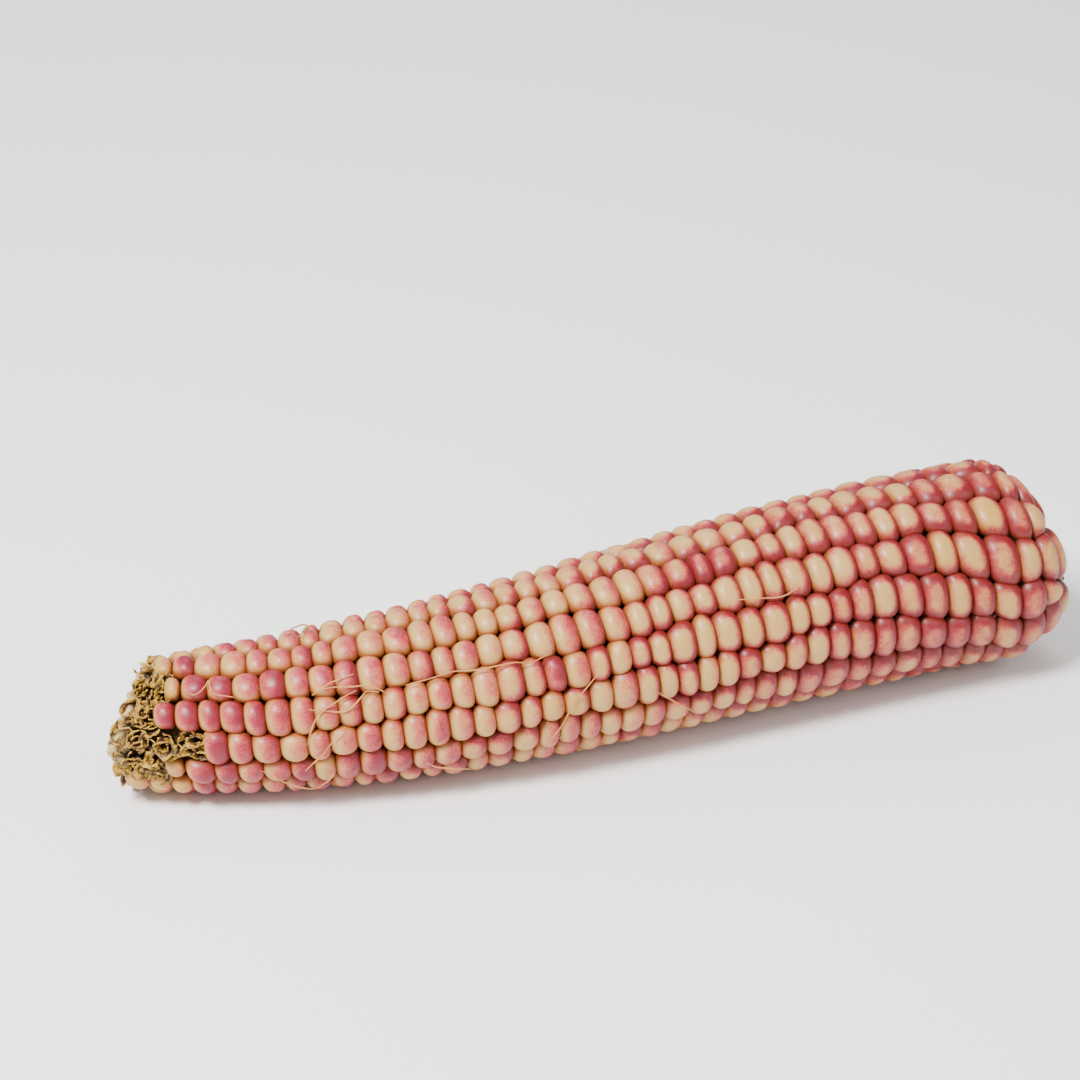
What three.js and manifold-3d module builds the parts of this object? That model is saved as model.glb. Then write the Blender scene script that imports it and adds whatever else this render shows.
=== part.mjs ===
// An ear of flint corn lying on its side: a cob that runs from end to end, and the kernels grown round it.
// Millimetres, +Z up. The chord of the ear lies along X, with the tip at -X and the stalk end at +X.
// The origin is on the surface that the ear lies on, under the middle of its box.

import * as THREE from 'three';
import { mergeVertices } from 'three/addons/utils/BufferGeometryUtils.js';
import Module from 'manifold-3d';

// Driving dimensions of the whole ear
const HALF_LENGTH = 101.7;       // from the middle to either end of the kernels
const BOW = 7.7;                 // how far the middle leans out of the straight line, towards -Y
const BOW_SKEW = 1.37;           // 0 is an even bow, more moves it towards the tip
const CROWN_MIDDLE = 20.1;       // radius over the kernels at the middle
const CROWN_SLOPE = 4.2;         // how much that radius grows from the middle to the stalk end
const CROWN_SAG = 2.1;           // how much it falls short of a straight taper at both ends
const FLAT_DEPTH = 0.35;         // the kernels that the ear lies on are worn flat by this much

// Kernels
const ROWS = 16;
const PITCH_TIP = 4.5;           // kernel spacing along the ear at the tip
const PITCH_GROWTH = 2.9;        // how much it has grown at the stalk end
const ROW_ANGLE = 0.455;         // height of row 3 above the horizontal, seen along the ear, in radians
const ROW_DRIFT = -0.05;         // change of that angle from the middle to the stalk end
const TIP_TWIST = 0.25;          // extra turn of the rows at the tip
const TIP_TWIST_FROM = 0.6;      // it starts at this share of the way from the middle to the tip
const BUTT_TWIST = -0.6;         // the same for the stalk end
const BUTT_TWIST_FROM = 0.35;
const WIDEN_MIDDLE = 0.04;       // rows that face -Y are wider than those at the back by this share
const WIDEN_ENDS = 0.22;         // and by this much more at both ends
const WAVERS = [                 // grooves waver by two waves: size in radians, length, phase between rows
    { size: 0.028, length: 7, phase: 2.1 },
    { size: 0.018, length: 3.1, phase: 4.7 },
];
const LENGTH_VARIES = 0.3;       // kernels of a row differ in length by this share
const CREASE_DEPTH = 1.6;        // valley between two kernels of a row
const GROOVE_DEPTH = 2.7;        // valley between two rows
const SHOULDER_DEPTH = 0.4;      // the crown's corners lie this much under its top
const CROWN_LENGTH = 0.27;       // half length and half width of the crown, as shares of the kernel
const CROWN_WIDTH = 0.28;
const SNAP = 0.9;                // groove points of neighbouring rows closer than this are one
const GROOVE_REACH = 0.6;        // a groove is raised where a kernel stands within this distance along it
const UNEVEN = 0.25;             // how much a kernel stands out or sinks back
const HIDDEN_DEPTH = 7;          // where a kernel is missing, the sleeve's skin sinks under the cob's
const TIP_HUB = 1.5;             // the skin's ends close on points this far inside it
const BUTT_HUB = 4;

// Rounded stalk end
const BUTT_RADIUS = 18;          // rounding of the crowns over the end
const BUTT_TURN = 1.12;          // how far they turn round it, in radians
const BUTT_LEAN = 0.38;          // above and behind, the rounded end is shorter by this share
const LEAN_ANGLE = 2.3;         // it is shortest at this angle round the ear
const MERGE_START = 16;          // every other row narrows over this last stretch
const MERGE_END = 5;
const MERGE_SHARE = 0.8;         // until it has lost this share of its width
const SLIVER = 3.0;              // a row narrower than this is only a valley between its neighbours

// Cob
const COB_TIP = 9.6;             // radius under the kernels at the tip, the middle and the stalk end
const COB_MIDDLE = 12.4;
const COB_BUTT = 12.6;
const COB_GAP = 0.35;            // between the cob and the kernels' roots
const CUP_HEIGHT = 2.4;          // papery cups that held the missing kernels
const CUP_HOLLOW = 1.5;          // how deep each one is
const CUP_LEAST = 0.75;          // the lowest rim is this share of their height
const CUP_VARIES = 0.35;         // and the highest is higher by this share
const CUP_CLEAR = 1.1;           // they end this far from a kernel
const CUP_FULL = 2.6;            // and have their whole height at this distance
const CUP_CORNER = 1.5;          // distance kept from a kernel that stands across a corner
const CUP_STEPS = 3;             // facets across one cup
const CUP_RING = 1.1;            // and their length
const CUP_STRETCH = 24;          // the cups cover this much of the tip
const TIP_FACE = [               // end face at the tip: shares of its radius, and how far they bulge
    { share: 0.3, bulge: 1.6 },
    { share: 0.62, bulge: 1.3 },
    { share: 0.9, bulge: 0.5 },
];
const TIP_BULGE = 1.9;           // bulge of its middle
const TIP_RIPPLE = 1.2;          // unevenness of its rings
const SHAFT_RING = 8;            // facet length along the plain shaft
const SHAFT_STOP = 6;            // the shaft ends this far before the rounded end begins
const SHANK_RADIUS = 7.9;        // cut stalk
const SHANK_RECESS = 1.2;        // its face lies this far inside the last kernels
const SHANK_GROOVE = 1.4;        // depth of the groove round the face
const SHANK_TAPER = 0.4;         // the face is smaller than its foot by this much
const HUSK_RADIUS = 9.8;         // torn husk bases round it
const HUSK_THICKNESS = 0.9;
const HUSK_RECESS = 1;           // they start this far inside the last kernels
const HUSK_SLOPE = 0.2;          // their rims fall inwards by this much
const HUSK_RAGGED = 1.3;         // how unevenly they are torn
const TIP_MARGIN = 3;            // the hole for the cob runs on by this much at the tip
const BUTT_MARGIN = 6;           // and at the stalk end
const GROUND = 20;               // thickness of the block that takes off what lies too low
const NEAR = 1e-3;               // step for finding the direction of the axis

// First kernel of each row, counted from the tip: the rows that face -Y start late and leave the tip bare
const FIRST_KERNEL = [1, 2, 2, 2, 4, 2, 0, 0, 1, 0, 1, 1, 0, 1, 0, 1];
// Length of each row's first place as a share of a whole one, so that neighbouring rows aren't in step
const FIRST_LENGTH = [0.9, 0.4, 0.9, 0.45, 0.45, 0.65, 1.0, 0.7, 1.1, 0.6, 0.9, 0.5, 1.0, 0.65, 0.85, 0.55];

// A draw between 0 and 1 that is the same every time for the same row and kernel
function draw(row, index, salt) {
    const value = Math.sin(row * 12.9898 + index * 78.233 + salt * 37.719) * 43758.5453;
    return value - Math.floor(value);
}

function smooth(from, to, value) {
    const t = Math.min(1, Math.max(0, (value - from) / (to - from)));
    return t * t * (3 - 2 * t);
}

// Axis of the ear: a lopsided bow that lies as high as the crowns reach down
function crownRadius(u) {
    return CROWN_MIDDLE + CROWN_SLOPE * u - CROWN_SAG * u * u;
}

function axisPoint(u) {
    const y = -BOW * (1 - u * u) * (1 - BOW_SKEW * u);
    return new THREE.Vector3(HALF_LENGTH * u, y, crownRadius(u) - FLAT_DEPTH);
}

function axisDirection(u) {
    return axisPoint(u + NEAR).sub(axisPoint(u - NEAR)).normalize();
}

// Stations along the crowns: s runs from 0 at the tip over the body and round the stalk end
const BODY = 2 * HALF_LENGTH - BUTT_RADIUS;
const TOTAL = BODY + BUTT_RADIUS * BUTT_TURN;
const END_REACH = BUTT_RADIUS * Math.sin(BUTT_TURN);
const END_RADIUS = crownRadius(1 - BUTT_RADIUS / 2 / HALF_LENGTH) - BUTT_RADIUS / 2;

// Share of its length that the rounded end has at angle a round the ear
function endLength(a) {
    return 1 - BUTT_LEAN * (1 + Math.cos(a - LEAN_ANGLE)) / 2;
}

// The point at station s, angle a round the ear (0 faces -Y, a quarter turn is up), depth d under the crowns
function place(s, a, d) {
    const u = Math.min(s, BODY) / HALF_LENGTH - 1;
    const centre = axisPoint(u);
    const along = axisDirection(u);
    const side = new THREE.Vector3().crossVectors(along, new THREE.Vector3(0, 0, 1)).normalize();
    const up = new THREE.Vector3().crossVectors(side, along);
    const out = side.multiplyScalar(Math.cos(a)).addScaledVector(up, Math.sin(a));
    const turn = Math.max(0, s - BODY) / BUTT_RADIUS;
    const reach = BUTT_RADIUS - d;
    const radius = crownRadius(u) - BUTT_RADIUS + reach * Math.cos(turn);
    return centre.addScaledVector(out, radius).addScaledVector(along, reach * Math.sin(turn) * endLength(a));
}

// Angle of the line down the middle of a row: the rows drift, and twist more at both ends
function rowAngle(row, s) {
    const u = Math.min(s, BODY) / HALF_LENGTH - 1;
    const tip = Math.max(0, (-u - TIP_TWIST_FROM) / (1 - TIP_TWIST_FROM));
    const butt = Math.max(0, (u - BUTT_TWIST_FROM) / (1 - BUTT_TWIST_FROM));
    const twist = ROW_DRIFT * u + TIP_TWIST * tip * tip + BUTT_TWIST * butt * butt;
    return ROW_ANGLE + twist + (3 - row) * 2 * Math.PI / ROWS;
}

// How far every other row has narrowed at station s, in favour of its neighbours
function merge(s) {
    return MERGE_SHARE * smooth(TOTAL - MERGE_START, TOTAL - MERGE_END, s);
}

// Groove between a row and the next: the rows in front are wider, it wavers a little, and it moves over
// where every other row narrows
function grooveAngle(row, s) {
    const u = Math.min(s, BODY) / HALF_LENGTH - 1;
    const half = Math.PI / ROWS;
    const even = rowAngle(row, s) - half;
    const widen = (WIDEN_MIDDLE + WIDEN_ENDS * u * u) * Math.sin(even - ROW_ANGLE);
    const waver = WAVERS.reduce((sum, { size, length, phase }) => (
        sum + size * Math.sin(s / length + row * phase)), 0);
    const lean = (row % 2 === 0 ? -1 : 1) * merge(s) * half;
    return even + widen + waver + lean;
}

// Stations of the creases of one row: the spacing grows towards the stalk end, and each kernel varies
function rowCreases(row) {
    const lengths = [];
    let sum = 0;
    for (let index = 0; sum < TOTAL; index += 1) {
        const pitch = PITCH_TIP + PITCH_GROWTH * (sum / TOTAL) ** 3;
        const vary = 1 + LENGTH_VARIES * (draw(row, index, 1) - 0.5);
        lengths.push(pitch * (index === 0 ? FIRST_LENGTH[row] : vary));
        sum += lengths[index];
    }
    const creases = [0];
    for (const length of lengths) creases.push(creases[creases.length - 1] + length * TOTAL / sum);
    return creases;
}

const creases = [];
for (let row = 0; row < ROWS; row += 1) creases.push(rowCreases(row));

function present(row, index) {
    return index >= FIRST_KERNEL[(row + ROWS) % ROWS] && index < creases[(row + ROWS) % ROWS].length - 1;
}

function kernelAt(row, s) {
    const list = creases[(row + ROWS) % ROWS];
    let index = 0;
    while (index < list.length - 2 && s > list[index + 1]) index += 1;
    return index;
}

// Mesh under construction: points are kept once, and faces are triples of their numbers
class Skin {
    constructor() {
        this.points = [];
        this.faces = [];
    }

    point(vector) {
        this.points.push(vector.x, vector.y, vector.z);
        return this.points.length / 3 - 1;
    }

    face(a, b, c) {
        if (a !== b && b !== c && c !== a) this.faces.push(a, b, c);
    }

    geometry() {
        const geometry = new THREE.BufferGeometry();
        geometry.setAttribute('position', new THREE.Float32BufferAttribute(this.points, 3));
        geometry.setIndex(this.faces);
        return geometry;
    }
}

// Outer skin of the kernels. Rows share the groove between them, and its points lie at the creases of both.
function kernelSkin() {
    const skin = new Skin();
    // Points inside both ends, which the closures meet in
    const tipHub = skin.point(axisPoint(-1).addScaledVector(axisDirection(-1), TIP_HUB));
    const buttU = BODY / HALF_LENGTH - 1;
    const hubReach = END_REACH - BUTT_HUB;
    const buttHub = skin.point(axisPoint(buttU).addScaledVector(axisDirection(buttU), hubReach));
    const grooves = [];
    for (let row = 0; row < ROWS; row += 1) {
        const next = (row + 1) % ROWS;
        const stations = [...creases[row], ...creases[next].slice(1, -1)].sort((a, b) => a - b);
        const kept = [];
        for (const s of stations) {
            const last = kept[kept.length - 1];
            if (!kept.length || s - last > SNAP) kept.push(s);
        }
        kept[kept.length - 1] = TOTAL;
        grooves.push(kept.map((s) => {
            const shown = [s - GROOVE_REACH, s + GROOVE_REACH].some((near) => (
                present(row, kernelAt(row, near)) || present(next, kernelAt(next, near))));
            return { s, at: skin.point(place(s, grooveAngle(row, s), shown ? GROOVE_DEPTH : HIDDEN_DEPTH)) };
        }));
    }

    const between = (groove, from, to) => {
        const near = (s) => groove.reduce((best, item, number) => (
            Math.abs(item.s - s) < Math.abs(groove[best].s - s) ? number : best), 0);
        return groove.slice(near(from), near(to) + 1);
    };

    for (let row = 0; row < ROWS; row += 1) {
        const upper = grooves[(row + ROWS - 1) % ROWS];
        const lower = grooves[row];
        const upperAngle = (s) => grooveAngle((row + ROWS - 1) % ROWS, s) + (row === 0 ? 2 * Math.PI : 0);
        const middle = (s) => (upperAngle(s) + grooveAngle(row, s)) / 2;
        const list = creases[row];
        const seams = list.map((s, index) => {
            const shown = present(row, index) || present(row, index - 1);
            return skin.point(place(s, middle(s), shown ? CREASE_DEPTH : HIDDEN_DEPTH));
        });
        for (let index = 0; index < list.length - 1; index += 1) {
            const centre = (list[index] + list[index + 1]) / 2;
            const reach = (list[index + 1] - list[index]) * CROWN_LENGTH;
            const width = upperAngle(centre) - grooveAngle(row, centre);
            const raised = width * END_RADIUS < SLIVER ? GROOVE_DEPTH : UNEVEN * (draw(row, index, 2) - 0.5);
            const lift = present(row, index) ? raised : HIDDEN_DEPTH;
            const corner = (along, across) => {
                const s = centre + along * reach;
                return skin.point(place(s, middle(s) + across * width * CROWN_WIDTH, lift + SHOULDER_DEPTH));
            };
            const tipUp = corner(-1, 1);
            const tipDown = corner(-1, -1);
            const buttUp = corner(1, 1);
            const buttDown = corner(1, -1);
            const top = skin.point(place(centre, middle(centre), lift));
            const above = between(upper, list[index], list[index + 1]);
            const below = between(lower, list[index], list[index + 1]);
            // Crown
            skin.face(top, tipUp, tipDown);
            skin.face(top, buttUp, tipUp);
            skin.face(top, buttDown, buttUp);
            skin.face(top, tipDown, buttDown);
            // Ends, from the creases up to the crown
            skin.face(seams[index], tipDown, tipUp);
            skin.face(seams[index], tipUp, above[0].at);
            skin.face(below[0].at, tipDown, seams[index]);
            skin.face(seams[index + 1], buttUp, buttDown);
            skin.face(above[above.length - 1].at, buttUp, seams[index + 1]);
            skin.face(seams[index + 1], buttDown, below[below.length - 1].at);
            // Flanks, from both grooves up to the crown
            const fan = (groove, tipCorner, buttCorner, flip) => {
                const face = (a, b, c) => (flip ? skin.face(a, b, c) : skin.face(b, a, c));
                let change = groove.findIndex((item) => item.s > centre);
                if (change < 1) change = groove.length - 1;
                for (let step = 0; step < groove.length - 1; step += 1) {
                    face(groove[step].at, groove[step + 1].at, step < change ? tipCorner : buttCorner);
                    if (step === change - 1) face(groove[step + 1].at, buttCorner, tipCorner);
                }
            };
            fan(above, tipUp, buttUp, false);
            fan(below, tipDown, buttDown, true);
        }
        // Flat closure of both ends, cut away later by the hole for the cob
        skin.face(tipHub, seams[0], upper[0].at);
        skin.face(tipHub, lower[0].at, seams[0]);
        skin.face(buttHub, upper[upper.length - 1].at, seams[seams.length - 1]);
        skin.face(buttHub, seams[seams.length - 1], lower[lower.length - 1].at);
    }
    return skin.geometry();
}

// Radius of the bare cob under the kernels
function cobRadius(u) {
    const bend = (COB_TIP + COB_BUTT) / 2 - COB_MIDDLE;
    return COB_MIDDLE + (COB_BUTT - COB_TIP) / 2 * u + bend * u * u;
}

// Height of the papery cups at station s in a row, at a share across it: rims between the empty places,
// hollows in them, and nothing close to a kernel
function cupHeight(row, share, s) {
    const index = kernelAt(row, s);
    if (present(row, index)) return 0;
    const list = creases[row];
    const along = (s - list[index]) / (list[index + 1] - list[index]);
    const width = crownRadius(-1) * 2 * Math.PI / ROWS;
    const clear = [];
    if (present(row, index + 1)) clear.push(list[index + 1] - s);
    for (const [step, away] of [[-1, 1 - share], [1, share]]) {
        const other = (row + step + ROWS) % ROWS;
        if (present(other, kernelAt(other, s + CUP_CORNER))) clear.push(away * width);
    }
    const keep = smooth(CUP_CLEAR, CUP_FULL, Math.min(...clear, CUP_FULL));
    const hollow = CUP_HOLLOW * Math.sin(Math.PI * share) * Math.sin(Math.PI * along);
    const rim = CUP_HEIGHT * (CUP_LEAST + CUP_VARIES * draw(row, Math.round(s * 2), 3));
    return keep * (rim - hollow);
}

// The cob as rings of points: cups at the bare tip, a plain shaft, and the cut stalk in its torn husk bases.
// A gap makes the larger and longer plain solid that keeps the kernels clear of it.
function cobSkin(gap) {
    const skin = new Skin();
    const columns = gap ? ROWS : ROWS * CUP_STEPS;
    const spread = gap ? 1 / Math.cos(Math.PI / ROWS) : 1;
    const rings = [];
    const ring = (u, shift, radius) => {
        const along = axisDirection(u);
        const side = new THREE.Vector3().crossVectors(along, new THREE.Vector3(0, 0, 1)).normalize();
        const up = new THREE.Vector3().crossVectors(side, along);
        const centre = axisPoint(u);
        const s = (u + 1) * HALF_LENGTH;
        rings.push(Array.from({ length: columns }, (_, column) => {
            const row = Math.floor(column * ROWS / columns);
            const share = column * ROWS / columns - row;
            const low = grooveAngle(row, s);
            const high = grooveAngle((row + ROWS - 1) % ROWS, s) + (row === 0 ? 2 * Math.PI : 0);
            const angle = low + share * (high - low);
            const reach = (radius(row, share, s, column) + gap) * spread;
            return skin.point(centre.clone()
                .addScaledVector(side, reach * Math.cos(angle))
                .addScaledVector(up, reach * Math.sin(angle))
                .addScaledVector(along, shift(column, angle)));
        }));
    };

    // End face at the tip, from the middle outwards
    const tipEnd = gap ? TIP_MARGIN : 0;
    for (const { share, bulge } of TIP_FACE) {
        const ripple = (column) => (gap ? 0 : TIP_RIPPLE * draw(column, share, 4));
        ring(-1, (column) => -tipEnd - bulge - ripple(column), () => share * COB_TIP);
    }
    const tipStep = gap ? SHAFT_RING : CUP_STRETCH / Math.round(CUP_STRETCH / CUP_RING);
    if (gap) ring(-1, () => -tipEnd, () => COB_TIP);
    for (let s = 0; s < CUP_STRETCH - NEAR; s += tipStep) {
        ring(s / HALF_LENGTH - 1, () => 0, (row, share) => (
            cobRadius(s / HALF_LENGTH - 1) + (gap ? 0 : cupHeight(row, share, s))));
    }
    const shaftEnd = BODY - SHAFT_STOP;
    const steps = Math.round((shaftEnd - CUP_STRETCH) / SHAFT_RING);
    for (let step = 0; step <= steps; step += 1) {
        const u = (CUP_STRETCH + (shaftEnd - CUP_STRETCH) * step / steps) / HALF_LENGTH - 1;
        ring(u, () => 0, () => cobRadius(u));
    }

    // Stalk end: the husk bases stand round the cut face in a ragged ring, both slanted like the rounded end
    const butt = BODY / HALF_LENGTH - 1;
    const level = (a, drop) => END_REACH * endLength(a) - drop;
    const torn = (column, a) => HUSK_RAGGED * draw(column, 0, 5) + level(a, HUSK_RECESS);
    ring(butt, () => 0, () => HUSK_RADIUS);
    if (gap) {
        ring(butt, () => END_REACH + BUTT_MARGIN, () => HUSK_RADIUS);
    } else {
        ring(butt, torn, () => HUSK_RADIUS);
        ring(butt, (column, a) => torn(column, a) - HUSK_SLOPE, () => HUSK_RADIUS - HUSK_THICKNESS);
        ring(butt, (_, a) => level(a, SHANK_RECESS + SHANK_GROOVE), () => SHANK_RADIUS + SHANK_TAPER);
        ring(butt, (_, a) => level(a, SHANK_RECESS), () => SHANK_RADIUS);
    }

    const tip = skin.point(axisPoint(-1).addScaledVector(axisDirection(-1), -tipEnd - TIP_BULGE));
    const stalk = gap ? END_REACH + BUTT_MARGIN : level(LEAN_ANGLE + Math.PI / 2, SHANK_RECESS);
    const end = skin.point(axisPoint(butt).addScaledVector(axisDirection(butt), stalk));
    for (let column = 0; column < columns; column += 1) {
        // Each row's share runs upwards while the rows are counted downwards
        const order = (number) => {
            const row = Math.floor(number / (columns / ROWS));
            const within = number - row * (columns / ROWS);
            return (ROWS - 1 - row) * (columns / ROWS) + within;
        };
        const here = order(column);
        const next = order((column + 1) % columns);
        skin.face(tip, rings[0][here], rings[0][next]);
        for (let step = 0; step < rings.length - 1; step += 1) {
            skin.face(rings[step][here], rings[step + 1][next], rings[step][next]);
            skin.face(rings[step][here], rings[step + 1][here], rings[step + 1][next]);
        }
        skin.face(end, rings[rings.length - 1][next], rings[rings.length - 1][here]);
    }
    return skin.geometry();
}

// Exact solids for cutting, and back again
const wasm = await Module();
wasm.setup();

function solid(geometry) {
    return new wasm.Manifold(new wasm.Mesh({
        numProp: 3,
        vertProperties: new Float32Array(geometry.attributes.position.array),
        triVerts: new Uint32Array(geometry.index.array),
    }));
}

function faceted(manifold) {
    const mesh = manifold.getMesh();
    const geometry = new THREE.BufferGeometry();
    geometry.setAttribute('position', new THREE.BufferAttribute(mesh.vertProperties.slice(), 3));
    geometry.setIndex(new THREE.BufferAttribute(mesh.triVerts.slice(), 1));
    return geometry;
}

// Everything under the surface that the ear lies on
function underground() {
    const block = new THREE.BoxGeometry(4 * HALF_LENGTH, 4 * HALF_LENGTH, GROUND);
    block.translate(0, 0, -GROUND / 2);
    block.deleteAttribute('normal');
    block.deleteAttribute('uv');
    return solid(mergeVertices(block));
}

function largest(manifold) {
    return manifold.decompose().reduce((best, piece) => (piece.volume() > best.volume() ? piece : best));
}

function kernels() {
    const sleeve = solid(kernelSkin()).subtract(solid(cobSkin(COB_GAP)));
    return faceted(largest(sleeve.subtract(underground())));
}

// The ear, with the middle of its box over the origin
const OFFSET_X = 2.93;
const OFFSET_Y = 3.22;
const SEED_COAT = new THREE.MeshStandardMaterial({ color: 0xe9b49c, roughness: 0.35, metalness: 0 });
const DRY_CHAFF = new THREE.MeshStandardMaterial({ color: 0xc2a35c, roughness: 0.9, metalness: 0 });

const ear = new THREE.Group();
const sleeve = new THREE.Mesh(kernels(), SEED_COAT);
sleeve.name = 'kernels';
const cob = new THREE.Mesh(cobSkin(0), DRY_CHAFF);
cob.name = 'cob';
ear.add(cob, sleeve);
ear.position.set(OFFSET_X, OFFSET_Y, 0);

export default ear;
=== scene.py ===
# %% [markdown]
# An ear of flint corn, dressed for its portrait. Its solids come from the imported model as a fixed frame, and
# this notebook grows the fine surfaces round them: over six hundred glossy kernels, the dry cob with its papery
# cups, the cut stalk and a few threads of silk. Lengths are in millimetres until a mesh is made.

import math

import bpy
import numpy as np
from mathutils import Matrix, Vector


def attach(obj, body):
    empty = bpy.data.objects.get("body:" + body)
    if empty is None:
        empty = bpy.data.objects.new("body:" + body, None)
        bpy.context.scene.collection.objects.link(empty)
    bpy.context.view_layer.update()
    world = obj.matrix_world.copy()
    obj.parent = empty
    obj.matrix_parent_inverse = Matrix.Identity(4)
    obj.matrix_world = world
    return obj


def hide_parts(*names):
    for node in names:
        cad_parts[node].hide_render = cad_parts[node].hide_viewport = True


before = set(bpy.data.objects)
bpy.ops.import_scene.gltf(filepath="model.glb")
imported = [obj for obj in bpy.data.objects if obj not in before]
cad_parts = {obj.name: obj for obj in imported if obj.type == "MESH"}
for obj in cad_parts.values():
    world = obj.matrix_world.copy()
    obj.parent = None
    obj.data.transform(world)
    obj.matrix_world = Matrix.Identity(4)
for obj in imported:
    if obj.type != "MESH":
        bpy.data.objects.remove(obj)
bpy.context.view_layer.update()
MM = 1e-3

# %% [markdown]
# The camera comes first, so that every later cell can be judged in the right view. It looks down on the ear by
# 30 degrees from the tip's side of square on, through a long lens, which keeps both ends nearly the same size.

# %% Camera
CAMERA_AZIMUTH = -15.86
CAMERA_ELEVATION = 30.0
CAMERA_DISTANCE = 574.0
CAMERA_TARGET = (-2.3, 40.77, 20.0)
SENSOR_WIDTH = 36.0
FOCAL_LENGTH = 86.7


def look_from(azimuth, elevation, distance, target):
    """A matrix that puts a camera or lamp at the given distance from target and turns it to face it."""
    a, e = math.radians(azimuth), math.radians(elevation)
    back = Vector((math.sin(a) * math.cos(e), -math.cos(a) * math.cos(e), math.sin(e)))
    place = Vector(target) * MM + back * distance * MM
    return Matrix.Translation(place) @ back.to_track_quat("Z", "Y").to_matrix().to_4x4()


camera_data = bpy.data.cameras.new("camera")
camera_data.sensor_width = SENSOR_WIDTH
camera_data.lens = FOCAL_LENGTH
camera = bpy.data.objects.new("camera", camera_data)
camera.matrix_world = look_from(CAMERA_AZIMUTH, CAMERA_ELEVATION, CAMERA_DISTANCE, CAMERA_TARGET)
bpy.context.collection.objects.link(camera)
bpy.context.scene.camera = camera
print("lens:", FOCAL_LENGTH)

# %% [markdown]
# The ear's own shape is four short formulas: how its axis bows, how its radius grows, how the rows run along it
# and how the kernels are spaced in a row. The solids were made from the same formulas, so a kernel grown here
# sits exactly on the solid that it dresses. Angles round the ear start at the front and go up; u runs from -1 at
# the tip to 1 at the stalk end, and s is the distance from the tip along the crowns of the kernels.

# %% Driving dimensions of the ear
HALF_LENGTH = 101.7
BOW = 7.7
BOW_SKEW = 1.37
CROWN_MIDDLE = 20.1
CROWN_SLOPE = 4.2
CROWN_SAG = 2.1
FLAT_DEPTH = 0.35  # how far the lowest kernels are worn flat
OFFSET = (2.93, 3.22, 0.0)  # brings the middle of the ear's box to the origin
SMALL_STEP = 1e-3  # for slopes by small differences
ROWS = 16
FRONT_ROW = 3
PITCH_TIP = 4.5
PITCH_GROWTH = 2.9
ROW_ANGLE = 0.455  # of the middle of the front row
ROW_DRIFT = -0.05
TIP_TWIST = 0.25
TIP_TWIST_FROM = 0.6
BUTT_TWIST = -0.6
BUTT_TWIST_FROM = 0.35
WIDEN_MIDDLE = 0.04
WIDEN_ENDS = 0.22
WAVERS = ((0.028, 7.0, 2.1), (0.018, 3.1, 4.7))  # size, length, phase from row to row
LENGTH_VARIES = 0.3
BUTT_RADIUS = 18.0
BUTT_TURN = 1.12
BUTT_LEAN = 0.38
LEAN_ANGLE = 2.3
MERGE_START = 16.0  # every other row narrows over this stretch before the last kernel
MERGE_END = 5.0
MERGE_SHARE = 0.8
SLIVER = 3.0  # kernels narrower than this are left out
COB_TIP = 9.6
COB_MIDDLE = 12.4
COB_BUTT = 12.6
FIRST_KERNEL = np.array([1, 2, 2, 2, 4, 2, 0, 0, 1, 0, 1, 1, 0, 1, 0, 1])
FIRST_LENGTH = (0.9, 0.4, 0.9, 0.45, 0.45, 0.65, 1.0, 0.7, 1.1, 0.6, 0.9, 0.5, 1.0, 0.65, 0.85, 0.55)
BODY = 2 * HALF_LENGTH - BUTT_RADIUS
TOTAL = BODY + BUTT_RADIUS * BUTT_TURN
END_REACH = BUTT_RADIUS * math.sin(BUTT_TURN)
TIP_RADIUS = CROWN_MIDDLE - CROWN_SLOPE - CROWN_SAG
DRAW_FACTORS = (12.9898, 78.233, 37.719)  # for the repeatable draws
DRAW_SCALE = 43758.5453
print("length along the crowns:", round(TOTAL, 2))

# %% [markdown]
# Two helpers come first: a repeatable random draw, so that the ear is the same on every run, and a soft step.
# The rest turns a station, an angle and a depth into a point in space, however the ear bows there.

# %% Formulas of the ear


def draw(row, index, salt):
    """A number between 0 and 1 that is always the same for the same row, kernel and salt: the fraction of a
    large multiple of a sine."""
    by_row, by_index, by_salt = DRAW_FACTORS
    value = np.sin(np.asarray(row) * by_row + np.asarray(index) * by_index + salt * by_salt) * DRAW_SCALE
    return value - np.floor(value)


def smooth(start, end, value):
    """0 below start, 1 above end, and the cubic 3t^2 - 2t^3 between them."""
    t = np.clip((value - start) / (end - start), 0, 1)
    return t * t * (3 - 2 * t)


def crown_radius(u):
    """Radius over the kernels: a straight taper that sags by a parabola towards both ends."""
    return CROWN_MIDDLE + CROWN_SLOPE * u - CROWN_SAG * u * u


def axis_point(u):
    """A lopsided parabolic bow towards -Y, at the height of the crowns less what is worn flat."""
    y = -BOW * (1 - u * u) * (1 - BOW_SKEW * u)
    return np.stack([HALF_LENGTH * u, y, crown_radius(u) - FLAT_DEPTH], -1) + np.array(OFFSET)


def axis_frame(u):
    """Three unit vectors at u: along the axis, level towards -Y, and up across both."""
    along = axis_point(u + SMALL_STEP) - axis_point(u - SMALL_STEP)
    along /= np.linalg.norm(along, axis=-1, keepdims=True)
    side = np.cross(along, [0.0, 0.0, 1.0])
    side /= np.linalg.norm(side, axis=-1, keepdims=True)
    return along, side, np.cross(side, along)


def end_length(angle):
    """Share of its length that the rounded end has at an angle round the ear: it is cut short above and behind,
    by a cosine."""
    return 1 - BUTT_LEAN * (1 + np.cos(angle - LEAN_ANGLE)) / 2


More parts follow.
